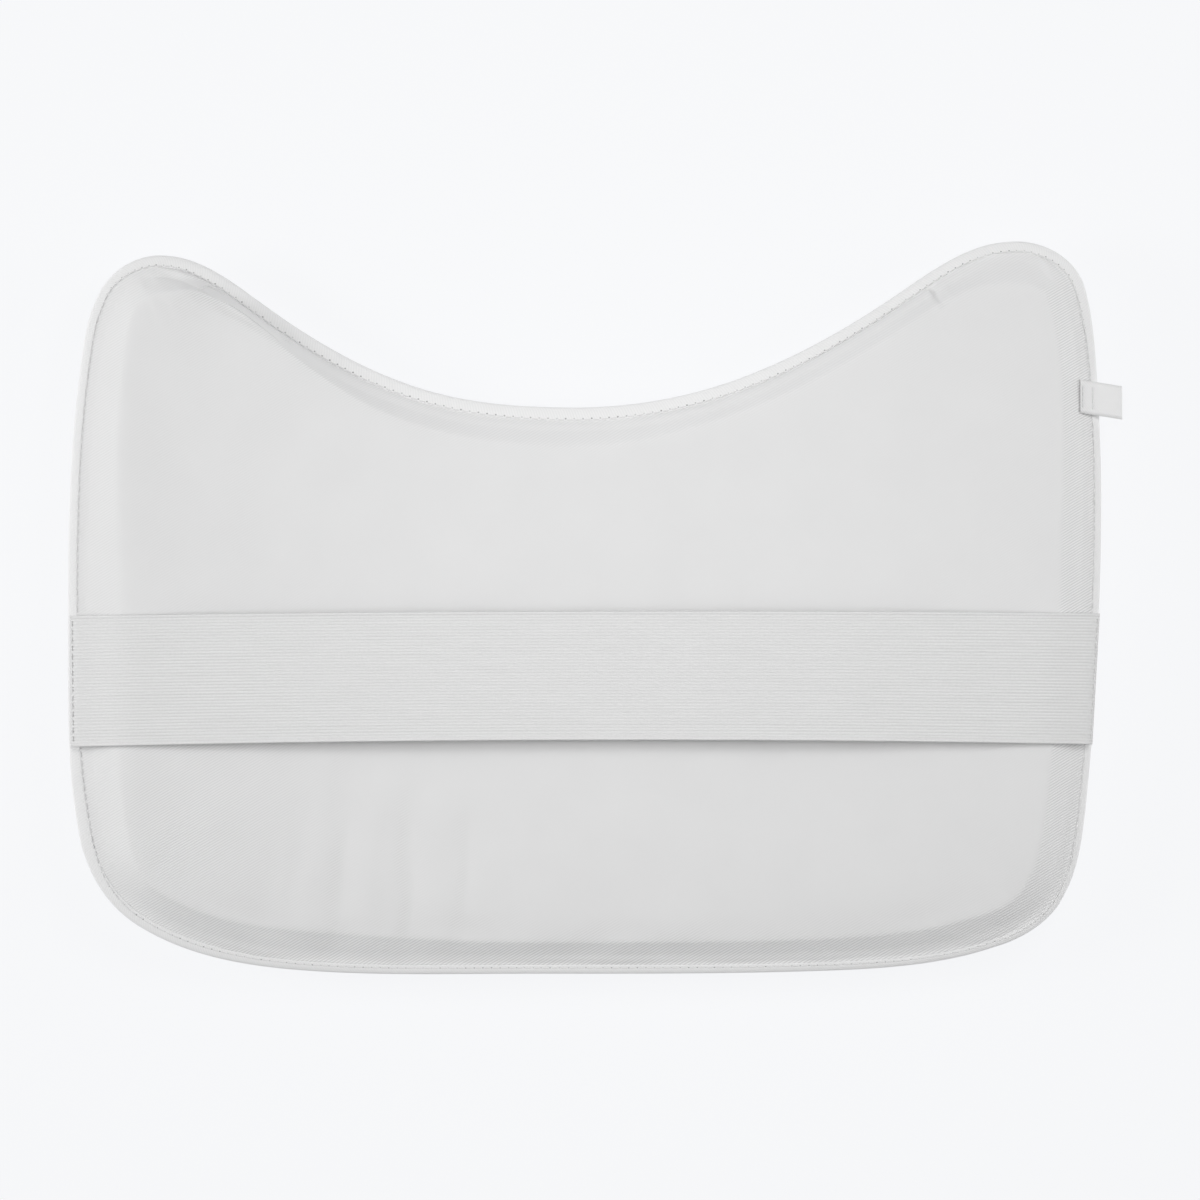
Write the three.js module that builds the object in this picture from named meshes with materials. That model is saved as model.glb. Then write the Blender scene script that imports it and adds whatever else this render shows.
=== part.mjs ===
// A chest guard for sport, lying on its front with the body side up.
// Two foam pads covered in white twill meet at a seam. A folded binding wraps the seam,
// a wide elastic strap crosses the back, and a blank ribbon label is sewn to the right edge.
// Millimetres, +Z up, +Y towards the wearer's neck. The origin is under the middle of the guard.
import * as THREE from "three";

// The edge of the guard, clockwise as seen on the body side, starting in the neck scoop.
// x, y: place of the knot. heading: direction of travel there, in degrees.
// steps: stations from this knot to the next. border: width of the back pad's sloping edge.
// tape: width of the binding that shows.
const EDGE_KNOTS = [
  { at: "neck middle", x: -6, y: 62.2, heading: 0, steps: 6, border: 12.7, tape: 4.4 },
  { at: "scoop, right", x: 44, y: 70.9, heading: 20, steps: 5, border: 10.3, tape: 4 },
  { at: "lobe, right inner", x: 94, y: 97.5, heading: 34.5, steps: 5, border: 9.6, tape: 3.6 },
  { at: "lobe, right top", x: 130, y: 113.3, heading: -1, steps: 6, border: 13.6, tape: 3.6 },
  { at: "lobe, right outer", x: 151.2, y: 98.4, heading: -75, steps: 3, border: 12.5, tape: 3.5 },
  { at: "side, right upper", x: 154.6, y: 74, heading: -86, steps: 4, border: 11.2, tape: 2.6 },
  { at: "side, right middle", x: 156, y: 22, heading: -91, steps: 6, border: 12.4, tape: 2.6 },
  { at: "side, right lower", x: 151.6, y: -58, heading: -96, steps: 4, border: 12.6, tape: 2.5 },
  { at: "corner, right upper", x: 143.5, y: -90.4, heading: -122, steps: 5, border: 12.4, tape: 2.5 },
  { at: "corner, right lower", x: 125.8, y: -103.5, heading: -160, steps: 5, border: 11.3, tape: 2.6 },
  { at: "bottom, right", x: 70, y: -111.8, heading: -178, steps: 7, border: 10.5, tape: 2.9 },
  { at: "bottom, middle", x: -20, y: -112.7, heading: -180, steps: 14, border: 10.4, tape: 3 },
  { at: "bottom, left", x: -87.5, y: -111.8, heading: -184, steps: 7, border: 13, tape: 3.1 },
  { at: "corner, left lower", x: -141.3, y: -97.3, heading: -213, steps: 5, border: 13, tape: 3.8 },
  { at: "corner, left upper", x: -158.8, y: -69.7, heading: -259, steps: 4, border: 15.5, tape: 4 },
  { at: "side, left middle", x: -162.2, y: -12, heading: -270, steps: 6, border: 17, tape: 3 },
  { at: "side, left upper", x: -158.1, y: 76.4, heading: -278, steps: 3, border: 14, tape: 2.8 },
  { at: "lobe, left outer", x: -152.3, y: 98, heading: -300, steps: 6, border: 13, tape: 3 },
  { at: "lobe, left top", x: -134, y: 109, heading: -359, steps: 3, border: 13, tape: 3.8 },
  { at: "lobe, left fold", x: -118.2, y: 104.7, heading: -387.8, steps: 3, border: 7.8, tape: 4.1 },
  { at: "lobe, left inner", x: -104, y: 95.3, heading: -396.5, steps: 5, border: 6.4, tape: 4.1 },
  { at: "scoop, left", x: -54.7, y: 68.4, heading: -378, steps: 5, border: 11.8, tape: 4.2 },
];

// The pads, measured from the seam. The guard is bent a little round the wearer's chest,
// so both pads rise towards the sides, outside a middle zone that is flat.
const SEAM_HEIGHT = 12.8;
const BACK_RISE = 7.5;
const BACK_ROUNDING = 1;
const FRONT_DEPTH = 12.8;
const FRONT_ROUNDING = 2;
const FRONT_BORDER = 14;
const BEND_RISE = 7;
const BEND_CENTRE_X = -3;
const BEND_FLAT_HALF = 45;
const BEND_HALF_WIDTH = 159;

// The middle line of the pads, on which their flat faces close.
// reach: share of a point's x that it keeps there. step, most: the line's points to either side.
const SPINE = { reach: 0.7, step: 14, most: 7, y: -22, arch: 0.0012 };

// Soft creases of the back cover where the foam is bent. Each runs straight between two points.
// depth: how far the cover dips along the crease. half: its half width.
const CREASES = [
  { at: "lower left, outer", x1: -101, y1: -62, x2: -103, y2: -106, depth: 0.7, half: 5 },
  { at: "lower left, second", x1: -78, y1: -52, x2: -76, y2: -106, depth: 0.9, half: 5 },
  { at: "lower left, third", x1: -56, y1: -54, x2: -55, y2: -106, depth: 0.9, half: 5 },
  { at: "lower left, inner", x1: -37, y1: -62, x2: -34, y2: -106, depth: 0.6, half: 5 },
  { at: "left lobe tuck", x1: -136, y1: 104, x2: -112, y2: 97, depth: 1, half: 4 },
  { at: "right lobe fold", x1: 135, y1: 108, x2: 142, y2: 95, depth: 0.6, half: 3.5 },
];

// The seam: the flat flanges of both covers, and the binding folded round them.
const CLEARANCE = 0.25;
const FLANGE = 0.6;
const BINDING_WALL = 1;
const FLANGE_TOP = CLEARANCE / 2 + FLANGE;
const BINDING_INSIDE = FLANGE_TOP + CLEARANCE;
const BINDING_TOP = BINDING_INSIDE + BINDING_WALL;

// The elastic strap, from edge to edge over the binding. It is narrower where it is stretched,
// and bows a little towards the neck. Between its sewn ends it lies taut over the back pad.
const STRAP_LEFT_Y = -22.3;
const STRAP_RIGHT_Y = -21.5;
const STRAP_BOW = 1.4;
const STRAP_END_WIDTH = 40.4;
const STRAP_MID_WIDTH = 39.6;
const STRAP_THICKNESS = 1.4;
const STRAP_SEWN = 2.5;
const STRAP_LONGEST_STEP = 26;
const STRAP_FEELER_STEP = 0.5;

// The label: a ribbon folded flat, sewn down beside the binding and standing out past the edge.
const LABEL_Y = 64.5;
const LABEL_WIDTH = 10.2;
const LABEL_INSIDE = 5.8;
const LABEL_OUTSIDE = 7.2;
const LABEL_DROOP = 0.8;
const LABEL_THICKNESS = 1.2;
const LABEL_SLANT = -9;
const LABEL_FOLD_STEPS = 4;

// Points closer than this are one point.
const SAME_POINT = 1e-6;

const { clamp, degToRad, lerp, smoothstep } = THREE.MathUtils;

const twill = new THREE.MeshStandardMaterial({ color: 0xe9e9e8, roughness: 0.9, metalness: 0 });
const bindingTwill = new THREE.MeshStandardMaterial({ color: 0xebebea, roughness: 0.9, metalness: 0 });
const elastic = new THREE.MeshStandardMaterial({ color: 0xe4e4e2, roughness: 0.8, metalness: 0 });
const ribbon = new THREE.MeshStandardMaterial({ color: 0xeeeeee, roughness: 0.6, metalness: 0 });

// Height of the seam at x: the bend lifts the guard towards its sides.
function seamAt(x) {
  const beyond = Math.max(0, Math.abs(x - BEND_CENTRE_X) - BEND_FLAT_HALF);
  return SEAM_HEIGHT + BEND_RISE * (beyond / (BEND_HALF_WIDTH - BEND_FLAT_HALF)) ** 2;
}

// Share of its full height that a rounded border has reached, t of the way across it.
function climb(t, rounding) {
  return 1 - (1 - t) ** rounding;
}

// How far the creases pull the back cover down at a point.
function creaseAt(place) {
  const point = new THREE.Vector3(place.x, place.y, 0);
  const dips = CREASES.map((crease) => {
    const start = new THREE.Vector3(crease.x1, crease.y1, 0);
    const end = new THREE.Vector3(crease.x2, crease.y2, 0);
    const nearest = new THREE.Line3(start, end).closestPointToPoint(point, true, new THREE.Vector3());
    return crease.depth * Math.exp(-((point.distanceTo(nearest) / crease.half) ** 2));
  });
  return Math.max(...dips);
}

function direction(heading) {
  return new THREE.Vector2(Math.cos(degToRad(heading)), Math.sin(degToRad(heading)));
}

// Stations along the edge, smooth through the knots: place, inward direction, border and tape widths.
function edgeStations() {
  const stations = [];
  EDGE_KNOTS.forEach((knot, i) => {
    const next = EDGE_KNOTS[(i + 1) % EDGE_KNOTS.length];
    const start = new THREE.Vector2(knot.x, knot.y);
    const end = new THREE.Vector2(next.x, next.y);
    const leaving = direction(knot.heading);
    const arriving = direction(next.heading);
    const chord = end.clone().sub(start);
    const turn = (chord.angleTo(leaving) + chord.angleTo(arriving)) / 2;
    const handle = ((2 / 3) * chord.length()) / (1 + Math.cos(turn));
    const afterStart = start.clone().addScaledVector(leaving, handle);
    const beforeEnd = end.clone().addScaledVector(arriving, -handle);
    const curve = new THREE.CubicBezierCurve(start, afterStart, beforeEnd, end);
    for (let step = 0; step < knot.steps; step++) {
      const t = step / knot.steps;
      const along = curve.getTangent(t);
      const share = smoothstep(t, 0, 1);
      stations.push({
        place: curve.getPoint(t),
        inward: new THREE.Vector2(along.y, -along.x),
        border: lerp(knot.border, next.border, share),
        tape: lerp(knot.tape, next.tape, share),
      });
    }
  });
  return stations;
}

const stations = edgeStations();

// Where the outermost edge crosses y on one side of the guard (-1 left, 1 right).
function edgeAt(y, side) {
  const crossings = [];
  stations.forEach((near, i) => {
    const far = stations[(i + 1) % stations.length];
    if ((near.place.y - y) * (far.place.y - y) > 0) {
      return;
    }
    const share = (y - near.place.y) / (far.place.y - near.place.y);
    crossings.push({
      x: lerp(near.place.x, far.place.x, share),
      border: lerp(near.border, far.border, share),
      tape: lerp(near.tape, far.tape, share),
    });
  });
  return crossings.sort((a, b) => (b.x - a.x) * side)[0];
}

// Height above the seam of the back, binding included, at a distance inside the edge.
function backProfile(distance, edge) {
  if (distance <= edge.tape) {
    return BINDING_TOP;
  }
  const start = edge.tape + CLEARANCE;
  const t = clamp((distance - start) / (edge.border - start), 0, 1);
  return lerp(FLANGE_TOP, BACK_RISE, climb(t, BACK_ROUNDING));
}

// A ring of points at a distance inside the edge, then a share of the way to the spine.
function ringAt(distanceOf, share, heightOf) {
  return stations.map((station) => {
    const place = station.place.clone().addScaledVector(station.inward, distanceOf(station));
    const spineStep = Math.round((place.x * SPINE.reach) / SPINE.step);
    const spineX = SPINE.step * clamp(spineStep, -SPINE.most, SPINE.most);
    place.lerp(new THREE.Vector2(spineX, SPINE.y + SPINE.arch * spineX * spineX), share);
    return new THREE.Vector3(place.x, place.y, heightOf(place));
  });
}

// Joins two rings of equal length with triangles, into a list of corner points.
// Where neighbours on a ring lie on one point, their triangle is left out.
function addBand(corners, first, second) {
  first.forEach((point, i) => {
    const next = (i + 1) % first.length;
    if (point.distanceTo(first[next]) > SAME_POINT) {
      corners.push(point, second[i], first[next]);
    }
    if (second[i].distanceTo(second[next]) > SAME_POINT) {
      corners.push(first[next], second[i], second[next]);
    }
  });
}

// Closes a ring with triangles that turn one way in its plane, which flatten gives.
function addCap(corners, ring, flatten, counterClockwise) {
  const contour = ring.map(flatten);
  for (const [a, b, c] of THREE.ShapeUtils.triangulateShape(contour, [])) {
    const turnsLeft = THREE.ShapeUtils.area([contour[a], contour[b], contour[c]]) > 0;
    const [second, third] = turnsLeft === counterClockwise ? [b, c] : [c, b];
    corners.push(ring[a], ring[second], ring[third]);
  }
}

// A closed solid through a row of rings, filled at its first and last ring.
function loft(name, rings, flatten, material) {
  const corners = [];
  rings.slice(1).forEach((ring, i) => addBand(corners, rings[i], ring));
  addCap(corners, rings[0], flatten, false);
  addCap(corners, rings[rings.length - 1], flatten, true);
  return solid(name, corners, material);
}

function solid(name, corners, material) {
  const geometry = new THREE.BufferGeometry().setFromPoints(corners);
  geometry.computeVertexNormals();
  const mesh = new THREE.Mesh(geometry, material);
  mesh.name = name;
  return mesh;
}

// One pad, from the spine on its seam side to the flange, the rounded border and the flat face.
// side is 1 for the back pad, above the seam, and -1 for the front pad.
function pad(name, side, rise, rounding, borderOf, dipAt) {
  const flangeEdge = () => BINDING_WALL + CLEARANCE;
  const borderStart = (station) => station.tape + CLEARANCE;
  const seamInset = () => FRONT_BORDER;
  const seamSide = (p) => seamAt(p.x) + (side * CLEARANCE) / 2;
  const flangeTop = (p) => seamAt(p.x) + side * FLANGE_TOP;
  const face = (p) => seamAt(p.x) + side * (rise - dipAt(p));

  const rings = [
    ringAt(seamInset, 1, seamSide),
    ringAt(seamInset, 0.35, seamSide),
    ringAt(seamInset, 0, seamSide),
    ringAt(flangeEdge, 0, seamSide),
    ringAt(flangeEdge, 0, flangeTop),
    ringAt(borderStart, 0, flangeTop),
  ];
  for (const t of [0.2, 0.5, 0.75, 0.9, 1]) {
    const distanceOf = (station) => lerp(borderStart(station), borderOf(station), t);
    const heightOf = (p) => lerp(flangeTop(p), face(p), climb(t, rounding));
    rings.push(ringAt(distanceOf, 0, heightOf));
  }
  for (const share of [0.14, 0.36, 0.64, 1]) {
    rings.push(ringAt(borderOf, share, face));
  }
  if (side < 0) {
    rings.reverse();
  }
  const corners = [];
  rings.slice(1).forEach((ring, i) => addBand(corners, rings[i], ring));
  return solid(name, corners, twill);
}

// The binding: a folded strip with a round outer edge, open towards the pads.
// inset: distance inside the edge, counted back from the tape's inner edge where tape is 1.
function edgeBinding() {
  const bevel = 0.3;
  const section = [
    { tape: 1, inset: 0, height: -BINDING_INSIDE },
    { tape: 0, inset: BINDING_WALL, height: -BINDING_INSIDE },
    { tape: 0, inset: BINDING_WALL, height: BINDING_INSIDE },
    { tape: 1, inset: 0, height: BINDING_INSIDE },
    { tape: 1, inset: 0, height: BINDING_TOP - bevel },
    { tape: 1, inset: -bevel, height: BINDING_TOP },
    { tape: 0, inset: 0.7 * BINDING_TOP, height: BINDING_TOP },
    { tape: 0, inset: 0.2 * BINDING_TOP, height: 0.7 * BINDING_TOP },
    { tape: 0, inset: 0, height: 0 },
    { tape: 0, inset: 0.2 * BINDING_TOP, height: -0.7 * BINDING_TOP },
    { tape: 0, inset: 0.7 * BINDING_TOP, height: -BINDING_TOP },
    { tape: 1, inset: 0, height: -BINDING_TOP },
  ];
  const rings = section.map(({ tape, inset, height }) =>
    ringAt((station) => tape * station.tape + inset, 0, (p) => seamAt(p.x) + height),
  );
  const corners = [];
  rings.forEach((ring, i) => addBand(corners, rings[(i + 1) % rings.length], ring));
  return solid("edge_binding", corners, bindingTwill);
}

// The points of a line that a taut band touches when it is pulled over the line from above.
function tautOver(points) {
  const kept = [];
  for (const point of points) {
    while (kept.length > 1) {
      const before = kept[kept.length - 2];
      const leg = kept[kept.length - 1].clone().sub(before);
      if (leg.cross(point.clone().sub(before)) < 0) {
        break;
      }
      kept.pop();
    }
    kept.push(point);
  }
  return kept;
}

// The underside of the strap along its middle, as x and z: sewn flat at the ends, taut between.
function strapLine() {
  const left = edgeAt(STRAP_LEFT_Y, -1);
  const right = edgeAt(STRAP_RIGHT_Y, 1);
  const restAt = (x) => {
    const edge = x - left.x < right.x - x ? left : right;
    const height = seamAt(x) + backProfile(Math.abs(x - edge.x), edge);
    return new THREE.Vector2(x, height + CLEARANCE);
  };
  const felt = [];
  for (let x = left.x + STRAP_SEWN; x < right.x - STRAP_SEWN; x += STRAP_FEELER_STEP) {
    felt.push(restAt(x));
  }
  felt.push(restAt(right.x - STRAP_SEWN));

  const line = [restAt(left.x)];
  for (const point of tautOver(felt)) {
    const last = line[line.length - 1];
    const pieces = Math.ceil(last.distanceTo(point) / STRAP_LONGEST_STEP);
    for (let piece = 1; piece <= pieces; piece++) {
      line.push(last.clone().lerp(point, piece / pieces));
    }
  }
  line.push(restAt(right.x));
  return line;
}

// The elastic strap: a flat band along its line, with both ends cut along the edge of the guard.
function elasticStrap() {
  const line = strapLine();
  const startX = line[0].x;
  const length = line[line.length - 1].x - startX;
  const rings = line.map((under) => {
    const share = (under.x - startX) / length;
    const stretched = 4 * share * (1 - share);
    const middle = lerp(STRAP_LEFT_Y, STRAP_RIGHT_Y, share) + STRAP_BOW * stretched;
    const half = lerp(STRAP_END_WIDTH, STRAP_MID_WIDTH, stretched) / 2;
    const [low, high] = [middle - half, middle + half].map((y) => {
      const x = lerp(edgeAt(y, -1).x, edgeAt(y, 1).x, share);
      return new THREE.Vector3(x, y, under.y);
    });
    const top = new THREE.Vector3(0, 0, STRAP_THICKNESS);
    return [low.clone().add(top), high.clone().add(top), high, low];
  });
  return loft("elastic_strap", rings, (p) => new THREE.Vector2(p.y, p.z), elastic);
}

// The label, in a frame of its own on the edge: x points outwards, z is measured from the seam.
function sideLabel() {
  const edge = edgeAt(LABEL_Y, 1);
  const seam = seamAt(edge.x);
  const onBack = (distance) => {
    const height = seamAt(edge.x - distance) + backProfile(distance, edge) - seam;
    return new THREE.Vector2(-distance, height + CLEARANCE);
  };
  const foldRadius = LABEL_THICKNESS / 2;
  const onBinding = BINDING_TOP + CLEARANCE;
  const under = [
    onBack(LABEL_INSIDE),
    new THREE.Vector2(-edge.tape, onBinding),
    new THREE.Vector2(0, onBinding),
    new THREE.Vector2(LABEL_OUTSIDE - foldRadius, onBinding - LABEL_DROOP),
  ];
  const over = under.map((point) => new THREE.Vector2(point.x, point.y + LABEL_THICKNESS));
  const fold = [];
  for (let step = 1; step < LABEL_FOLD_STEPS; step++) {
    const angle = Math.PI * (0.5 - step / LABEL_FOLD_STEPS);
    const middle = new THREE.Vector2(LABEL_OUTSIDE - foldRadius, onBinding - LABEL_DROOP + foldRadius);
    fold.push(middle.add(new THREE.Vector2(Math.cos(angle), Math.sin(angle)).multiplyScalar(foldRadius)));
  }
  const section = [...over, ...fold, ...under.reverse()];
  const slant = Math.tan(degToRad(LABEL_SLANT));
  const rings = [LABEL_WIDTH / 2, -LABEL_WIDTH / 2].map((y) =>
    section.map((point) => new THREE.Vector3(point.x, y + slant * point.x, point.y)),
  );
  const label = loft("side_label", rings, (p) => new THREE.Vector2(p.x, p.z), ribbon);
  label.position.set(edge.x, LABEL_Y, seam);
  return label;
}

const guard = new THREE.Group();
guard.add(pad("front_pad", -1, FRONT_DEPTH, FRONT_ROUNDING, () => FRONT_BORDER, () => 0));
guard.add(pad("back_pad", 1, BACK_RISE, BACK_ROUNDING, (station) => station.border, creaseAt));
guard.add(edgeBinding());
guard.add(elasticStrap());
guard.add(sideLabel());

// The guard is set with the middle of its outer box over the origin, and its front on the ground.
const outerBox = new THREE.Box3().setFromObject(guard, true);
const middle = outerBox.getCenter(new THREE.Vector3());
guard.position.set(-middle.x, -middle.y, -outerBox.min.z);

const group = new THREE.Group();
group.add(guard);

export default group;
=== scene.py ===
import math

import bmesh
import bpy
import numpy as np
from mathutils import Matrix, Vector, kdtree, noise


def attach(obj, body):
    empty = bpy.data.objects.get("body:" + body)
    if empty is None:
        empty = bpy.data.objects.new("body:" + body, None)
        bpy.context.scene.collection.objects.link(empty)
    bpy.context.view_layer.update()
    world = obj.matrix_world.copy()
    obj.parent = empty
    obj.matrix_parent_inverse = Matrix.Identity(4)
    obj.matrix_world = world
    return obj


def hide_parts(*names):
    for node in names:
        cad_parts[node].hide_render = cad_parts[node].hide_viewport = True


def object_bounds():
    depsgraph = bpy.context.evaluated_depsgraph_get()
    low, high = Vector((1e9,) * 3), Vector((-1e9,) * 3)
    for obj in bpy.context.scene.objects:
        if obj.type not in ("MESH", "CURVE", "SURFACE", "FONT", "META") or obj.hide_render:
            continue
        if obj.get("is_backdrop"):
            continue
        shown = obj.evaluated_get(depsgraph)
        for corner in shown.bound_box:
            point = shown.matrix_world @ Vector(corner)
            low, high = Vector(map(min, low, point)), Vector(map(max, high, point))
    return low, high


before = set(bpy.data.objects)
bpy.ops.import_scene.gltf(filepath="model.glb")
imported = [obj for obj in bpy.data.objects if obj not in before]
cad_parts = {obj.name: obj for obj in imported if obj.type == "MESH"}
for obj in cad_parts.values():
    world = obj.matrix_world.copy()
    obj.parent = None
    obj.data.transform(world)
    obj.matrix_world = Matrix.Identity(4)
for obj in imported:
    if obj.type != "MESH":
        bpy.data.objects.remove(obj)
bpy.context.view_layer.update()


# Front pad: the half of the guard that lies on the ground, a slab of foam in a cover of white cotton twill.
# The cover's edge is a flat flange, sewn to the back cover's flange inside the binding.
# The foam holds the cloth taut, and where the guard rests the cloth is pressed flat.

TWILL_COLOUR = (0.9, 0.9, 0.9, 1)
TWILL_SHADE = (0.6, 0.6, 0.602, 1)
TWILL_ROUGHNESS = 0.92
TWILL_DEPTH = 0.00002
WALE = 0.00075
WALE_SLANT = math.radians(30)
# How strongly the covers' wales show, by slope, by facing and near the lower-left corner. This scales their
# bump and also their painted shade, which is darker on slopes turned from the light.
WALE_SHOWS = ((0.6, 0.75, 0.93, 0.985, 0.998, 1), (0.2, 1, 1, 0.4, 0.1, 0.05))
WALE_FROM_LIGHT = ((-0.2, 0.2), (0.25, 1))
GRAZED_CORNER = Vector((-0.128, -0.072))
CORNER_REACH = 0.055
CORNER_SHOWS = 0.9
SLUB_SCALE = 300
SLUB_SHIFT = 0.15
PATCH_SCALE = 60
PATCH_TINT = 0.1
MEAN_TINT = 0.583
WALE_TINT = 0.35
CLOTH_SHINE = 0.2
COVER_SWELL = 0.00012
FOAM_PRESSURE = 4
FLANGE_FACING = 0.1
SIMULATED_FRAMES = 20


def quad_copy(node):
    """A CAD node's own shape, merged, with its triangles joined into four-sided faces."""
    bm = bmesh.new()
    bm.from_mesh(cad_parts[node].data)
    bmesh.ops.remove_doubles(bm, verts=bm.verts, dist=1e-6)
    bmesh.ops.join_triangles(
        bm, faces=bm.faces, angle_face_threshold=math.pi, angle_shape_threshold=math.pi
    )
    bm.normal_update()
    return bm


def piece_from(name, bm, material, slot, *nodes):
    """A smooth piece on the guard's one body, which stands for the CAD nodes that are named."""
    mesh = bpy.data.meshes.new(name)
    bm.to_mesh(mesh)
    bm.free()
    mesh.shade_smooth()
    mesh.materials.append(material)
    piece = bpy.data.objects.new(name, mesh)
    bpy.context.scene.collection.objects.link(piece)
    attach(piece, "root")
    if nodes:
        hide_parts(*nodes)
    return piece


def smoothed(piece, levels):
    """Gives a piece a subdivision surface."""
    modifier = piece.modifiers.new("smoothed", "SUBSURF")
    modifier.levels = modifier.render_levels = levels
    modifier.boundary_smooth = "PRESERVE_CORNERS"
    return piece


def settle(piece):
    """Applies a piece's modifiers to its mesh."""
    shown = piece.evaluated_get(bpy.context.evaluated_depsgraph_get())
    mesh = bpy.data.meshes.new_from_object(shown)
    piece.modifiers.clear()
    piece.data = mesh


def blow_up(piece, is_sewn, swell):
    """Lets the foam press a cover outwards as simulated cloth, sewn down where is_sewn says."""
    start = [vert.co.copy() for vert in piece.data.vertices]
    seam = piece.vertex_groups.new(name="sewn")
    seam.add([vert.index for vert in piece.data.vertices if is_sewn(vert)], 1, "REPLACE")
    cloth = piece.modifiers.new("cover", "CLOTH")
    cloth.settings.vertex_group_mass = seam.name
    cloth.settings.use_pressure = True
    cloth.settings.uniform_pressure_force = FOAM_PRESSURE
    cloth.settings.effector_weights.gravity = 0
    cloth.point_cache.frame_end = SIMULATED_FRAMES
    for number in range(1, SIMULATED_FRAMES + 1):
        bpy.context.scene.frame_set(number)
    settle(piece)
    bpy.context.scene.frame_set(1)
    for vert, place in zip(piece.data.vertices, start):
        moved = vert.co - place
        if moved.length > swell:
            vert.co = place + moved * (swell / moved.length)


def add_node(tree, kind, inputs=None, **settings):
    """A shader node, with its inputs filled from values or from other nodes' outputs."""
    node = tree.nodes.new(kind)
    for key, value in settings.items():
        setattr(node, key, value)
    for key, value in (inputs or {}).items():
        if isinstance(value, bpy.types.NodeSocket):
            tree.links.new(value, node.inputs[key])
        else:
            node.inputs[key].default_value = value
    return node


def calculate(tree, operation, *values):
    """The output of a Math node."""
    return add_node(tree, "ShaderNodeMath", dict(enumerate(values)), operation=operation).outputs[0]


def cloth_material(name, colour, shade, roughness, depth):
    """A matt cloth. Its section links a weave to the Factor of the tint and the Height of the relief."""
    material = bpy.data.materials.new(name)
    material.use_nodes = True
    tree = material.node_tree
    tint = tree.nodes.new("ShaderNodeMix")
    tint.data_type = "RGBA"
    tint.inputs[6].default_value = shade
    tint.inputs[7].default_value = colour
    relief = add_node(tree, "ShaderNodeBump", {"Distance": depth})
    shader = tree.nodes["Principled BSDF"]
    shader.inputs["Roughness"].default_value = roughness
    shader.inputs["Specular IOR Level"].default_value = CLOTH_SHINE
    tree.links.new(tint.outputs[2], shader.inputs["Base Color"])
    tree.links.new(relief.outputs["Normal"], shader.inputs["Normal"])
    return material, tree, tint, relief


def twill_weave():
    """The weave of the covers, the binding and the label: slanting wales of yarn, a little uneven. Shows
    scales the wales in both tint and relief; on the covers it puts painted shade on the slopes turned from
    the light.
    """
    weave = bpy.data.node_groups.new("twill_weave", "ShaderNodeTree")
    weave.interface.new_socket("Place", in_out="INPUT", socket_type="NodeSocketVector")
    weave.interface.new_socket("Wale", in_out="INPUT", socket_type="NodeSocketFloat")
    weave.interface.new_socket("Slant", in_out="INPUT", socket_type="NodeSocketFloat")
    weave.interface.new_socket("Shows", in_out="INPUT", socket_type="NodeSocketFloat")
    weave.interface.new_socket("Yarn", in_out="OUTPUT", socket_type="NodeSocketFloat")
    weave.interface.new_socket("Height", in_out="OUTPUT", socket_type="NodeSocketFloat")
    given = add_node(weave, "NodeGroupInput").outputs
    turned = add_node(
        weave,
        "ShaderNodeVectorRotate",
        {"Vector": given["Place"], "Angle": calculate(weave, "MULTIPLY", given["Slant"], -1)},
        rotation_type="Z_AXIS",
    ).outputs[0]
    slub = add_node(weave, "ShaderNodeTexNoise", {"Vector": turned, "Scale": SLUB_SCALE, "Detail": 1})
    patch = add_node(
        weave, "ShaderNodeTexNoise", {"Vector": given["Place"], "Scale": PATCH_SCALE, "Detail": 3}
    )
    place = add_node(weave, "ShaderNodeSeparateXYZ", {"Vector": turned})
    across = calculate(weave, "DIVIDE", place.outputs["Y"], given["Wale"])
    uneven = calculate(weave, "MULTIPLY_ADD", slub.outputs[0], SLUB_SHIFT, across)
    wave = calculate(weave, "SINE", calculate(weave, "MULTIPLY", uneven, math.tau))
    ridge = calculate(weave, "MULTIPLY", wave, given["Shows"])
    cloudy = calculate(weave, "MULTIPLY_ADD", patch.outputs[0], PATCH_TINT, MEAN_TINT)
    yarn = calculate(weave, "MULTIPLY_ADD", ridge, WALE_TINT, cloudy)
    add_node(weave, "NodeGroupOutput", {"Yarn": yarn, "Height": ridge})
    return weave


TWILL = twill_weave()


def weave_twill(tree, tint, relief, place, wale, slant, shows):
    """Puts a twill weave into a cloth's tint and relief."""
    weave = tree.nodes.new("ShaderNodeGroup")
    weave.node_tree = TWILL
    tree.links.new(place, weave.inputs["Place"])
    weave.inputs["Wale"].default_value = wale
    weave.inputs["Slant"].default_value = slant
    weave.inputs["Shows"].default_value = shows
    tree.links.new(weave.outputs["Yarn"], tint.inputs["Factor"])
    tree.links.new(weave.outputs["Height"], relief.inputs["Height"])
    return weave


def show_wales(cover):
    """Marks where a cover's wales stand out: on the lower and the right slopes, turned from the light, and
    at the lower left, where the light grazes. There the wales get a deeper bump and a darker painted shade.
    """
    shows = []
    for vert in cover.data.vertices:
        # Painted shade: the wales darken more on slopes facing away from the light and where it grazes the
        # lower left.
        from_light = np.interp(vert.normal.x - vert.normal.y, *WALE_FROM_LIGHT)
        corner = max(0, 1 - (vert.co.xy - GRAZED_CORNER).length / CORNER_REACH)
        sloping = np.interp(abs(vert.normal.z), *WALE_SHOWS)
        shows.append(max(from_light * sloping, CORNER_SHOWS * corner))
    cover.data.attributes.new("shows", "FLOAT", "POINT").data.foreach_set("value", shows)


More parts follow.
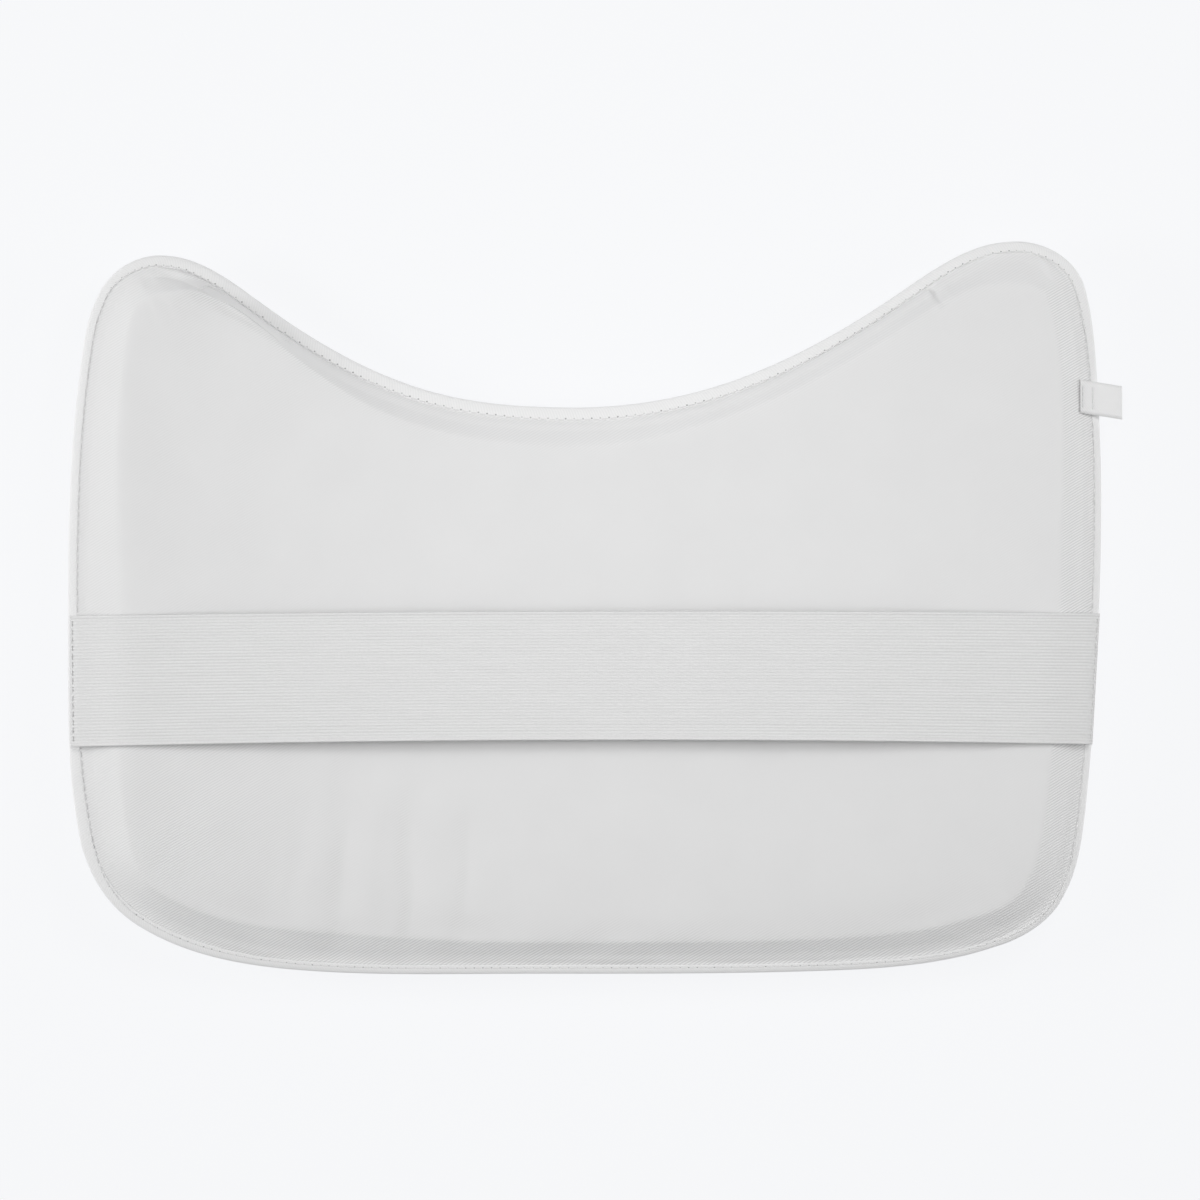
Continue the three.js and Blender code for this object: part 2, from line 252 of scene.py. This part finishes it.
cover_twill, tree, tint, relief = cloth_material(
    "cover_twill", TWILL_COLOUR, TWILL_SHADE, TWILL_ROUGHNESS, TWILL_DEPTH
)
place = add_node(tree, "ShaderNodeTexCoord").outputs["Object"]
weave = weave_twill(tree, tint, relief, place, WALE, WALE_SLANT, 1)
# The shows attribute sets the wales' bump and their painted shade on the covers.
drawn = add_node(tree, "ShaderNodeAttribute", attribute_name="shows")
tree.links.new(drawn.outputs["Fac"], weave.inputs["Shows"])

front = piece_from("front_cover", quad_copy("front_pad"), cover_twill, "cover_twill", "front_pad")
settle(smoothed(front, 1))
blow_up(front, lambda vert: vert.normal.z > -FLANGE_FACING, COVER_SWELL)
for vert in front.data.vertices:
    vert.co.z = max(vert.co.z, 0)
front.data.shade_smooth()
show_wales(front)
smoothed(front, 1)


# Back pad: the body-side half, the same twill over a foam slab with a sloping border and a flat middle.
# It is sewn to the front cover all round. The bent foam leaves soft creases in the cloth at the lower left,
# and the cover is tucked at the tops of both lobes.

CREASES = (
    (Vector((-0.0985, -0.060)), Vector((-0.1010, -0.106)), 0.0003, 0.0028),
    (Vector((-0.0890, -0.048)), Vector((-0.0935, -0.108)), 0.0004, 0.0030),
    (Vector((-0.0770, -0.045)), Vector((-0.0785, -0.108)), 0.0005, 0.0028),
    (Vector((-0.0640, -0.062)), Vector((-0.0665, -0.108)), 0.0003, 0.0026),
    (Vector((-0.0560, -0.048)), Vector((-0.0575, -0.110)), 0.0005, 0.0028),
    (Vector((-0.0395, -0.052)), Vector((-0.0410, -0.110)), 0.0004, 0.0028),
    (Vector((-0.0250, -0.070)), Vector((-0.0290, -0.110)), 0.0003, 0.0040),
    (Vector((-0.1240, 0.0985)), Vector((-0.0900, 0.0800)), 0.0008, 0.0018),
    (Vector((-0.1370, 0.1050)), Vector((-0.1180, 0.1000)), -0.0008, 0.0009),
    (Vector((-0.1450, 0.0985)), Vector((-0.1120, 0.0975)), -0.0010, 0.0045),
    (Vector((0.1015, 0.1030)), Vector((0.1075, 0.0925)), 0.0012, 0.0009),
    (Vector((0.0995, 0.1020)), Vector((0.1050, 0.0925)), -0.0005, 0.0012),
    (Vector((0.1340, 0.1105)), Vector((0.1450, 0.0980)), -0.0008, 0.0014),
)
CREASE_WANDER = 0.0025
CREASE_WAVES = 70
CREASE_SEED = 1
CREASE_ENDS = 0.7
SHARP_CREASE = 0.002
FINE_REACH = 3
FINE_CUTS = 2
FINE_FROM = 0.1
LOWER_EDGE = (
    (-0.125, -0.1, -0.0875, -0.02, 0.07, 0.1, 0.125),
    (-0.09, -0.0965, -0.099, -0.1025, -0.1015, -0.098, -0.093),
)
EDGE_WEAR = (0.0006, 0.0052)
WEAR_UNEVEN = 1.2
WEAR_ENDS = (0.105, 0.125)
EDGE_WANDER = 0.004
EDGE_WAVES = 50
EDGE_ROW = 0.3
FOAM_UNEVEN = 0.0004
FOAM_LUMP = 0.016
PUCKERS = (
    (Vector((-0.128, 0.1005)), 0.014, 0.0007),
    (Vector((0.1065, 0.0985)), 0.010, 0.0008),
    (Vector((0.1121, -0.1025)), 0.009, 0.0006),
)
PUCKER_SIZE = 0.004
PUCKER_DRAWN = 0.3
CREASED_FACING = 0.5


def crease_depth(place, start, end, depth, half):
    """How far a crease from start to end presses the cover in, deepest in the middle of its run."""
    run = end - start
    share = min(1, max(0, (place - start).dot(run) / run.length_squared))
    aside = (place - start - share * run).length
    return depth * math.sin(math.pi * share) ** CREASE_ENDS * math.exp(-((aside / half) ** 2))


back = piece_from("back_cover", quad_copy("back_pad"), cover_twill, "cover_twill", "back_pad")
settle(smoothed(back, 1))
blow_up(back, lambda vert: vert.normal.z < FLANGE_FACING, COVER_SWELL)
settle(smoothed(back, 1))
bm = bmesh.new()
bm.from_mesh(back.data)
sharp = [(start, end, 1, FINE_REACH * half) for start, end, depth, half in CREASES if half < SHARP_CREASE]
folded = []
for edge in bm.edges:
    middle = (edge.verts[0].co + edge.verts[1].co).xy / 2
    if any(crease_depth(middle, *crease) > FINE_FROM for crease in sharp):
        folded.append(edge)
bmesh.ops.subdivide_edges(bm, edges=folded, cuts=FINE_CUTS, use_grid_fill=True)
bm.to_mesh(back.data)
bm.free()
noise.seed_set(CREASE_SEED)
for vert in [vert for vert in back.data.vertices if vert.normal.z > CREASED_FACING]:
    place = vert.co.copy()
    lump = noise.noise(place / FOAM_LUMP)
    wandering = place.xy + CREASE_WANDER * noise.noise_vector(place * CREASE_WAVES).xy
    for crease in CREASES:
        vert.co.z -= crease_depth(place.xy if crease[3] < SHARP_CREASE else wandering, *crease)
    vert.co.z += FOAM_UNEVEN * lump
    worn = (1 + WEAR_UNEVEN * lump) * np.interp(abs(place.x), WEAR_ENDS, (1, 0))
    wander = EDGE_WANDER * noise.noise(Vector((place.x * EDGE_WAVES, EDGE_ROW, 0)))
    past_edge = (place.y - wander - np.interp(place.x, *LOWER_EDGE)) / EDGE_WEAR[1]
    vert.co.z -= EDGE_WEAR[0] * worn * math.exp(-(past_edge**2))
    for middle, reach, rise in PUCKERS:
        near = max(0, 1 - (place.xy - middle).length / reach)
        drawn = Vector((place.x + place.y, PUCKER_DRAWN * (place.x - place.y), 0)) / PUCKER_SIZE
        vert.co.z += rise * near * noise.noise(drawn)
back.data.shade_smooth()
show_wales(back)


# Edge binding: a strip of the same twill, cut on the bias and folded round both flanges.
# One row of lockstitch near its inner edge goes through all the layers. It puffs up beside the stitches, is
# drawn in at every needle hole, narrows along the sides, and overlaps where its ends were joined.

BINDING_COLOUR = (0.88, 0.88, 0.88, 1)
BINDING_SHADE = (0.78, 0.78, 0.782, 1)
STITCHES = 387
EDGE_PRESS = 0.55
EDGE_DROOP = 0.0008
BINDING_PUFF = 0.00015
LIP_DROP = (0.0002, 0.0004)
FOOT_BELOW = 0.0002
FOOT_REACH = (-0.00015, 0.003)
FOOT_FACING = 0.2
STITCH_DRAW = 0.00025
STITCH_SPRING = 0.2
EDGE_WAVER = 0.00015
WAVER_STEP = 0.31
JOINS = (Vector((0.1016, 0.1005)), Vector((0.1121, -0.1045)))
JOIN_LENGTH = 0.007
JOIN_RISE = 0.00035
BINDING_SLANT = math.radians(62)
BINDING_SHOWS = 0.55
# Painted shadow: the binding's needle holes are darkened towards this colour, for the shade inside them.
HOLE_SHADOW_COLOUR = (0.3, 0.3, 0.3, 1)
HOLE_RADIUS = 0.00035
HOLE_GAPES = (0.7, 0.3)
HOLES_FADE = (0.146, 0.153)
FADED_HOLE = 0.15
CROWN_SHARE = 0.4
STITCH_SHARE = 0.77
NECK_SHIFT = 0.17
SIDE_SHIFT = 0.15
AROUND_SECTION = 0.0175
TOP_STITCH, LIP, LOW_STITCH = 4, 6, 12


def straight_on(vert, edge):
    """The points met by going straight on over the corners of four-sided faces, once round."""
    loop = [vert]
    while edge.other_vert(vert) != loop[0]:
        vert = edge.other_vert(vert)
        loop.append(vert)
        edge = next(e for e in vert.link_edges if not set(e.link_faces) & set(edge.link_faces))
    return loop


def binding_sections():
    """The binding's own CAD sections, clockwise round the guard, each from its outer edge upwards."""
    bm = quad_copy("edge_binding")
    leftmost = min(bm.verts, key=lambda vert: vert.co.x)
    upwards = max(leftmost.link_edges, key=lambda edge: edge.other_vert(leftmost).co.y)
    outer = straight_on(leftmost, upwards)
    sections = []
    for vert in outer:
        across = [edge for edge in vert.link_edges if edge.other_vert(vert) not in outer]
        over_the_top = max(across, key=lambda edge: edge.other_vert(vert).co.z)
        sections.append([tuple(point.co) for point in straight_on(vert, over_the_top)])
    bm.free()
    return np.array(sections)


def spaced_sections(sections, count):
    """Sections at equal distances along the binding, on smooth curves through the given ones."""
    gaps = np.linalg.norm(np.roll(sections[:, 0], -1, axis=0) - sections[:, 0], axis=1)
    reached = np.concatenate([[0], np.cumsum(gaps)])
    spaced = []
    for distance in np.linspace(0, reached[-1], count, endpoint=False):
        index = int(np.searchsorted(reached, distance, side="right")) - 1
        t = (distance - reached[index]) / gaps[index]
        before, start, end, after = (sections[(index + k) % len(sections)] for k in (-1, 0, 1, 2))
        square = 2 * before - 5 * start + 4 * end - after
        cube = 3 * (start - end) + after - before
        spaced.append(start + ((end - before) * t + (square * t**2 + cube * t**3)) / 2)
    return np.array(spaced), reached[-1]


def binding_stations():
    """Sections two to a stitch, with the puff, the needle holes, the joins and the uneven edge put in."""
    cad, length = spaced_sections(binding_sections(), 2 * STITCHES)
    up = np.array((0, 0, 1))
    stations = []
    # In a CAD section 0 is the outer edge, 2 to 3 the upper face, 4 the lip and 9 to 10 the lower face.
    for number, ring in enumerate(cad):
        inward = (ring[3] - ring[2]) / np.linalg.norm(ring[3] - ring[2])
        for edge, face, side in ((1, 2, 1), (11, 10, -1)):
            corner = np.array((*ring[0, :2], ring[face, 2]))
            ring[[edge, face]] += EDGE_PRESS * (corner - ring[[edge, face]]) - EDGE_DROOP * side * up
        ring[3:5] += EDGE_WAVER * noise.noise(Vector((WAVER_STEP * number, 0, 0))) * inward
        ring[3:5] -= np.outer(LIP_DROP, up)
        draw = STITCH_DRAW if number % 2 == 0 else -STITCH_SPRING * STITCH_DRAW
        lift = 0
        for join in JOINS:
            past = (Vector(ring[0]).xy - join).length
            if past < JOIN_LENGTH:
                lift = JOIN_RISE * (1 - past / JOIN_LENGTH)
        top_crown = ring[2] + CROWN_SHARE * (ring[3] - ring[2]) + BINDING_PUFF * up
        share = STITCH_SHARE - NECK_SHIFT * inward[1] + SIDE_SHIFT * inward[0] ** 2
        top_stitch = ring[2] + share * (ring[3] - ring[2]) - draw * up
        low_stitch = ring[10] + share * (ring[9] - ring[10]) + draw * up
        low_crown = ring[10] + CROWN_SHARE * (ring[9] - ring[10]) - BINDING_PUFF * up
        full = np.vstack([ring[:3], top_crown, top_stitch, ring[3:10], low_stitch, low_crown, ring[10:]])
        full[1:6] += lift * up
        stations.append(full)
    return np.array(stations), length


STATIONS, BINDING_LENGTH = binding_stations()
ROUND_SECTION = STATIONS.shape[1]

lips = kdtree.KDTree(len(STATIONS))
for number, station in enumerate(STATIONS):
    lips.insert((*station[LIP, :2], 0), number)
lips.balance()
for vert in [vert for vert in back.data.vertices if vert.normal.z > FOOT_FACING]:
    number = lips.find((*vert.co.xy, 0))[1]
    stitch, crest, lip = STATIONS[number, TOP_STITCH : LIP + 1]
    inwards = Vector(lip - stitch).xy.normalized()
    inside = (vert.co.xy - Vector(lip).xy).dot(inwards)
    if FOOT_REACH[0] < inside < FOOT_REACH[1]:
        share = (inside - FOOT_REACH[0]) / (FOOT_REACH[1] - FOOT_REACH[0])
        vert.co.xy -= (share - share**2) * (FOOT_REACH[1] - FOOT_REACH[0]) * inwards
        vert.co.z = max(vert.co.z, crest[2] - FOOT_BELOW)


def grid_piece(along, across, place_at):
    """A grid of faces with a UV map, each corner moved to where place_at puts it."""
    bm = bmesh.new()
    bm.loops.layers.uv.new("UVMap")
    bmesh.ops.create_grid(bm, x_segments=along, y_segments=across, size=0.5, calc_uvs=True)
    for vert in bm.verts:
        vert.co = place_at(round((vert.co.x + 0.5) * along), round((vert.co.y + 0.5) * across))
    bmesh.ops.remove_doubles(bm, verts=bm.verts, dist=1e-7)
    return bm


def uv_place(tree, width, length):
    """A piece's UV map, scaled to metres along and across it."""
    uv = add_node(tree, "ShaderNodeUVMap", uv_map="UVMap")
    return add_node(
        tree, "ShaderNodeMapping", {"Vector": uv.outputs[0], "Scale": (length, width, 1)}
    ).outputs[0]


binding_twill, tree, tint, relief = cloth_material(
    "binding_twill", BINDING_COLOUR, BINDING_SHADE, TWILL_ROUGHNESS, TWILL_DEPTH
)
place = uv_place(tree, AROUND_SECTION, BINDING_LENGTH)
weave_twill(tree, tint, relief, place, WALE, BINDING_SLANT, BINDING_SHOWS)
spot = add_node(tree, "ShaderNodeSeparateXYZ", {"Vector": place}).outputs
along = calculate(tree, "PINGPONG", spot["X"], BINDING_LENGTH / STITCHES / 2)
rows = [AROUND_SECTION * row / ROUND_SECTION for row in (TOP_STITCH, LOW_STITCH)]
beside = [calculate(tree, "ABSOLUTE", calculate(tree, "SUBTRACT", spot["Y"], row)) for row in rows]
off = add_node(tree, "ShaderNodeCombineXYZ", {"X": along, "Y": calculate(tree, "MINIMUM", *beside)})
reach = add_node(tree, "ShaderNodeVectorMath", {0: off.outputs[0]}, operation="LENGTH").outputs["Value"]
# Painted shadow in each needle hole, uneven from hole to hole and faded along the sides.
hole = add_node(
    tree, "ShaderNodeMapRange", {"Value": reach, 1: 0.5 * HOLE_RADIUS, 2: HOLE_RADIUS, 3: 1, 4: 0}
).outputs[0]
number = calculate(tree, "ROUND", calculate(tree, "MULTIPLY", spot["X"], STITCHES / BINDING_LENGTH))
chance = add_node(tree, "ShaderNodeTexWhiteNoise", {"W": number}, noise_dimensions="1D").outputs["Value"]
side = add_node(tree, "ShaderNodeSeparateXYZ", {0: add_node(tree, "ShaderNodeTexCoord").outputs["Object"]})
far_out = calculate(tree, "ABSOLUTE", side.outputs["X"])
clear = add_node(
    tree,
    "ShaderNodeMapRange",
    {"Value": far_out, 1: HOLES_FADE[0], 2: HOLES_FADE[1], 3: 1, 4: FADED_HOLE},
).outputs[0]
chance = calculate(tree, "MULTIPLY_ADD", chance, *HOLE_GAPES)
hole_shading = calculate(tree, "MULTIPLY", hole, calculate(tree, "MULTIPLY", chance, clear))
hole_shadow = tree.nodes.new("ShaderNodeMix")
hole_shadow.data_type = "RGBA"
hole_shadow.inputs[7].default_value = HOLE_SHADOW_COLOUR
tree.links.new(hole_shading, hole_shadow.inputs[0])
tree.links.new(tint.outputs[2], hole_shadow.inputs[6])
tree.links.new(hole_shadow.outputs[2], tree.nodes["Principled BSDF"].inputs["Base Color"])

bm = grid_piece(
    len(STATIONS),
    ROUND_SECTION,
    lambda along, across: STATIONS[along % len(STATIONS), across % ROUND_SECTION],
)
bmesh.ops.recalc_face_normals(bm, faces=bm.faces)
binding = smoothed(piece_from("binding_tape", bm, binding_twill, "binding_twill", "edge_binding"), 1)


# Binding stitches: white thread in two rows, one on each side of the binding.
# Each stitch dips into its needle holes, where the thread falls into shadow; the dark dots at the holes on
# the binding are painted shadow.
# Along the left side the row has slipped off the tape and lies in the ditch beside it.

THREAD_COLOUR = (0.82, 0.82, 0.82, 1)
THREAD_SHADE = (0.66, 0.66, 0.66, 1)
THREAD_ROUGHNESS = 0.8
THREAD_DEPTH = 0.00003
PLY_SCALE = 2500
THREAD_RADIUS = 0.00018
STITCH_SINK = 0.0002
STITCH_RISE = 0.0002
STITCH_TOP = (0.25, 0.75)
DITCH_FROM = (0.150, 0.156)

thread, tree, tint, relief = cloth_material(
    "thread", THREAD_COLOUR, THREAD_SHADE, THREAD_ROUGHNESS, THREAD_DEPTH
)
ply = add_node(tree, "ShaderNodeTexNoise", {"Scale": PLY_SCALE, "Detail": 1})
tree.links.new(add_node(tree, "ShaderNodeTexCoord").outputs["Object"], ply.inputs["Vector"])
tree.links.new(ply.outputs[0], tint.inputs["Factor"])
tree.links.new(ply.outputs[0], relief.inputs["Height"])


def sewn_thread(name, slot, rows):
    """Thread in rows of stitches. A row has its holes, the way out of the cloth, and whether it closes."""
    curve = bpy.data.curves.new(name, "CURVE")
    curve.dimensions = "3D"
    curve.bevel_depth = THREAD_RADIUS
    curve.bevel_resolution = 1
    curve.use_fill_caps = True
    for holes, out, closed in rows:
        out = np.array(out)
        path = []
        for hole, following in zip(holes, np.roll(holes, -1, axis=0)):
            path += [hole - STITCH_SINK * out]
            path += [hole + share * (following - hole) + STITCH_RISE * out for share in STITCH_TOP]
        if not closed:
            del path[-2:]
        spline = curve.splines.new("POLY")
        spline.points.add(len(path) - 1)
        spline.points.foreach_set("co", np.insert(np.array(path), 3, 1, axis=1).ravel())
        spline.use_cyclic_u = closed
    laid = bpy.data.objects.new(name, curve)
    bm = bmesh.new()
    bm.from_mesh(bpy.data.meshes.new_from_object(laid))
    bpy.data.objects.remove(laid)
    bmesh.ops.remove_doubles(bm, verts=bm.verts, dist=1e-7)
    return piece_from(name, bm, thread, slot)


top_holes = []
for station in STATIONS[::2]:
    off_tape = np.interp(-station[LIP, 0], DITCH_FROM, (0, 1))
    ditch = station[LIP - 1 : LIP + 1].mean(axis=0)
    top_holes.append(station[TOP_STITCH] + off_tape * (ditch - station[TOP_STITCH]))
binding_stitches = sewn_thread(
    "binding_stitches",
    "binding_twill",
    [(np.array(top_holes), (0, 0, 1), True), (STATIONS[::2, LOW_STITCH], (0, 0, -1), True)],
)


# Elastic strap: a wide woven elastic with fine ribs along it and plain selvedges.
# It lies taut over the back from edge to edge, and its cut ends are sewn down flat on the binding.

ELASTIC_COLOUR = (0.814, 0.814, 0.814, 1)
ELASTIC_SHADE = (0.674, 0.674, 0.674, 1)
ELASTIC_ROUGHNESS = 0.85
ELASTIC_DEPTH = 0.00004
# The first tint is painted shade, darker towards each groove between the ribs; the other two are the yarns'
# own unevenness.
ELASTIC_TINTS = (0.45, 0.5, 0.3)
YARN_SCALE = 500
YARN_STRETCH = 0.1
WEFT_SCALE = 1400
ELASTIC_THICKNESS = 0.0013
ELASTIC_FLAT = (0.040, 0.318)
RIBS = 42
RIB_STEPS = 4
RIB_RISE = 0.0002
RIB_FIRMNESS = (0.8, 0.4)
RIB_CHANGE = 0.73
SELVEDGE = 0.0010
SELVEDGE_RISE = 1.5
GROOVE_FALL = 4
STRAP_STEPS = 120
STRAP_SPAN = (0.0028, 1)
STRAP_EASE = (-0.003, -0.0015, 0, 0.0015, 0.003)
END_RUN = 0.009
END_SEAM = 0.0005
END_STITCHES = 15

bm = quad_copy("elastic_strap")
middle_y = sum(vert.co.y for vert in bm.verts) / len(bm.verts)
upper = sorted((vert.co.copy() for vert in bm.verts if vert.normal.z > 0), key=lambda co: co.x)
bm.free()
strap_low = np.array([co for co in upper if co.y < middle_y])
strap_high = np.array([co for co in upper if co.y > middle_y])


def edge_of_strap(line, share):
    """A point of the strap's upper face on one of its long edges, eased over the bends of the CAD line."""
    x = line[0, 0] + np.interp(share, (0, 1), STRAP_SPAN) * (line[-1, 0] - line[0, 0])
    heights = [np.interp(x + ease, line[:, 0], line[:, 2]) for ease in STRAP_EASE]
    runs = (line[0, 0], line[0, 0] + END_RUN, line[-1, 0] - END_RUN, line[-1, 0])
    straight = np.interp(x, runs, np.interp(runs, line[:, 0], line[:, 2]))
    inside = runs[1] < x < runs[2]
    height = np.mean(heights) if inside else max(straight, np.mean(heights))
    return np.array((x, np.interp(x, line[:, 0], line[:, 1]), height))


def rib_height(share):
    """Height of the ribs at a share of the strap's width. A groove parts them from the round selvedges."""
    phase = share * RIBS
    firm = RIB_FIRMNESS[0] + RIB_FIRMNESS[1] * noise.noise(Vector((math.floor(phase) * RIB_CHANGE, 0, 0)))
    from_edge = min(share, 1 - share) * ELASTIC_FLAT[0] / SELVEDGE
    if from_edge < 1:
        return SELVEDGE_RISE * RIB_RISE * math.sin(math.pi * from_edge) ** 0.5
    groove = math.exp(-((GROOVE_FALL * (from_edge - 1)) ** 2))
    return RIB_RISE * (firm * abs(math.sin(math.pi * phase)) - groove)


def strap_place(along, across):
    """A point of the strap's upper face."""
    low, high = (edge_of_strap(line, along / STRAP_STEPS) for line in (strap_low, strap_high))
    share = across / (RIBS * RIB_STEPS)
    return Vector(low + share * (high - low) + np.array((0, 0, rib_height(share))))


ribbed_elastic, tree, tint, relief = cloth_material(
    "ribbed_elastic", ELASTIC_COLOUR, ELASTIC_SHADE, ELASTIC_ROUGHNESS, ELASTIC_DEPTH
)
place = uv_place(tree, *ELASTIC_FLAT)
drawn_out = add_node(
    tree, "ShaderNodeMapping", {"Vector": place, "Scale": (YARN_STRETCH, 1, 1)}
).outputs[0]
yarns = add_node(
    tree, "ShaderNodeTexNoise", {"Vector": drawn_out, "Scale": YARN_SCALE, "Detail": 2}
).outputs[0]
across = add_node(tree, "ShaderNodeSeparateXYZ", {"Vector": place}).outputs["Y"]
# Painted shade: the tint darkens towards the groove between each pair of ribs.
groove = calculate(tree, "PINGPONG", across, ELASTIC_FLAT[0] / RIBS / 2)
rib = calculate(tree, "MULTIPLY", groove, 2 * RIBS / ELASTIC_FLAT[0])
weft = add_node(tree, "ShaderNodeTexNoise", {"Vector": place, "Scale": WEFT_SCALE, "Detail": 1}).outputs[0]
groove_shade, weft_tint, yarn_tint = ELASTIC_TINTS
fibres = calculate(tree, "MULTIPLY_ADD", weft, weft_tint, calculate(tree, "MULTIPLY", yarns, yarn_tint))
mixed = calculate(tree, "MULTIPLY_ADD", rib, groove_shade, fibres)
tree.links.new(mixed, tint.inputs["Factor"])
tree.links.new(yarns, relief.inputs["Height"])

bm = grid_piece(STRAP_STEPS, RIBS * RIB_STEPS, strap_place)
strap = piece_from("strap_elastic", bm, ribbed_elastic, "ribbed_elastic", "elastic_strap")
wall = strap.modifiers.new("thickness", "SOLIDIFY")
wall.thickness = ELASTIC_THICKNESS
wall.offset = -1

end_rows = []
for share in (END_SEAM / ELASTIC_FLAT[1], 1 - END_SEAM / ELASTIC_FLAT[1]):
    low, high = (edge_of_strap(line, share) for line in (strap_low, strap_high))
    holes = [low + (high - low) * (k + 0.5) / (END_STITCHES + 1) for k in range(END_STITCHES + 1)]
    end_rows.append((np.array(holes), (0, 0, 1), False))
strap_stitches = sewn_thread("strap_stitches", "ribbed_elastic", end_rows)


# Side label: a blank satin ribbon folded in two, with the fold standing out past the right edge.
# Its ends lie on the cover beside the binding and are tacked down with two short rows of stitches.

RIBBON_COLOUR = (0.88, 0.88, 0.88, 1)
RIBBON_SHADE = (0.76, 0.76, 0.765, 1)
RIBBON_ROUGHNESS = 0.6
RIBBON_DEPTH = 0.00002
RIBBON_WALE = 0.0006
RIBBON_SLANT = math.radians(-50)
RIBBON_SHOWS = 0.6
RIBBON_THICKNESS = 0.00028
LABEL_PINCH = 0.0005
LABEL_SEAM = 0.0041
TACK_INSET = 0.0011
LABEL_TACKS = 5
LABEL_CUTS = 3
OPEN_END = 0.0005
OPEN_FACING = 0.7

label_ribbon, tree, tint, relief = cloth_material(
    "label_ribbon", RIBBON_COLOUR, RIBBON_SHADE, RIBBON_ROUGHNESS, RIBBON_DEPTH
)
place = add_node(tree, "ShaderNodeTexCoord").outputs["Object"]
weave_twill(tree, tint, relief, place, RIBBON_WALE, RIBBON_SLANT, RIBBON_SHOWS)

bm = quad_copy("side_label")
inner_end = min(vert.co.x for vert in bm.verts)
open_faces = [
    face
    for face in bm.faces
    if abs(face.normal.y) > OPEN_FACING
    or all(vert.co.x < inner_end + OPEN_END for vert in face.verts)
]
bmesh.ops.delete(bm, geom=open_faces, context="FACES")
bmesh.ops.subdivide_edges(bm, edges=bm.edges, cuts=LABEL_CUTS, use_grid_fill=True)
bm.normal_update()
for vert in [vert for vert in bm.verts if vert.normal.z > 0]:
    pinched = np.interp(vert.co.x - inner_end, (0, LABEL_SEAM, 2 * LABEL_SEAM), (1, 0.8, 0))
    vert.co.z -= LABEL_PINCH * pinched
upper = [vert.co.copy() for vert in bm.verts if vert.normal.z > 0]
label = smoothed(piece_from("label_ribbon", bm, label_ribbon, "label_ribbon", "side_label"), 1)
wall = label.modifiers.new("thickness", "SOLIDIFY")
wall.thickness = RIBBON_THICKNESS
wall.offset = -1

label_rows = []
for inset in (TACK_INSET, LABEL_SEAM):
    across = sorted(upper, key=lambda co: abs(co.x - inner_end - inset))[: LABEL_CUTS + 2]
    low, high = (np.array(end(across, key=lambda co: co.y)) for end in (min, max))
    holes = [low + (high - low) * (k + 1) / (LABEL_TACKS + 1) for k in range(LABEL_TACKS)]
    label_rows.append((np.array(holes), (0, 0, 1), False))
label_stitches = sewn_thread("label_stitches", "label_ribbon", label_rows)


# Stage: a plain pale floor and soft studio light, seen straight from above as in the photograph.
# The floor is a light table, so that the guard throws hardly any shadow on it.
# A soft lamp hangs overhead, and three panels stand around it, the strongest of them on the left.

FLOOR_REACH = 3
FLOOR_COLOUR = (0.08, 0.08, 0.08, 1)
FLOOR_GLOW = (0.85, 0.857, 0.872, 1)
OVERHEAD_FROM = Vector((0, 0.07, 1.0))
OVERHEAD_POWER = 7.4
OVERHEAD_CONE = math.radians(30)
OVERHEAD_SOFTNESS = 0.15
PANEL_SIZE = 0.4
PANELS = (
    ("left_panel", Vector((-0.9, 0.05, 0.5)), 4.25),
    ("right_panel", Vector((0.9, 0.05, 0.5)), 1.95),
    ("neck_panel", Vector((0.4, 0.4, 0.85)), 2.0),
)
ROOM_LIGHT = 0.365
AIM = Vector((0, 0.03, 0.02))
PHOTO_MIDDLE = Vector((0.0016, 0.0025, 0.0175))
PHOTO_WIDTH = 0.3698
LENS = 250
SENSOR = 36

bm = bmesh.new()
bmesh.ops.create_grid(bm, x_segments=1, y_segments=1, size=FLOOR_REACH)
floor_mesh = bpy.data.meshes.new("floor")
bm.to_mesh(floor_mesh)
bm.free()
light_table = bpy.data.materials.new("light_table")
light_table.use_nodes = True
shader = light_table.node_tree.nodes["Principled BSDF"]
shader.inputs["Base Color"].default_value = FLOOR_COLOUR
shader.inputs["Roughness"].default_value = 1
shader.inputs["Emission Color"].default_value = FLOOR_GLOW
shader.inputs["Emission Strength"].default_value = 1
floor_mesh.materials.append(light_table)
floor = bpy.data.objects.new("floor", floor_mesh)
bpy.context.scene.collection.objects.link(floor)
floor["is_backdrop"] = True


def hang(light, place):
    """Puts a light in its place, turned to the guard."""
    hung = bpy.data.objects.new(light.name, light)
    hung.location = place
    hung.rotation_euler = (AIM - place).to_track_quat("-Z", "Y").to_euler()
    bpy.context.scene.collection.objects.link(hung)


overhead = bpy.data.lights.new("overhead", "SPOT")
overhead.energy = OVERHEAD_POWER
overhead.spot_size = OVERHEAD_CONE
overhead.spot_blend = 1
overhead.shadow_soft_size = OVERHEAD_SOFTNESS
hang(overhead, OVERHEAD_FROM)
for name, place, power in PANELS:
    panel = bpy.data.lights.new(name, "AREA")
    panel.size = PANEL_SIZE
    panel.energy = power
    hang(panel, place)

room = bpy.data.worlds.new("room")
room.use_nodes = True
room.node_tree.nodes["Background"].inputs["Color"].default_value = (1, 1, 1, 1)
room.node_tree.nodes["Background"].inputs["Strength"].default_value = ROOM_LIGHT
bpy.context.scene.world = room
bpy.context.scene.view_settings.view_transform = "Standard"

camera = bpy.data.cameras.new("camera")
camera.lens = LENS
camera.sensor_width = SENSOR
camera_object = bpy.data.objects.new("camera", camera)
camera_object.location = PHOTO_MIDDLE + Vector((0, 0, PHOTO_WIDTH * LENS / SENSOR))
bpy.context.scene.collection.objects.link(camera_object)
bpy.context.scene.camera = camera_object

low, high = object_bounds()
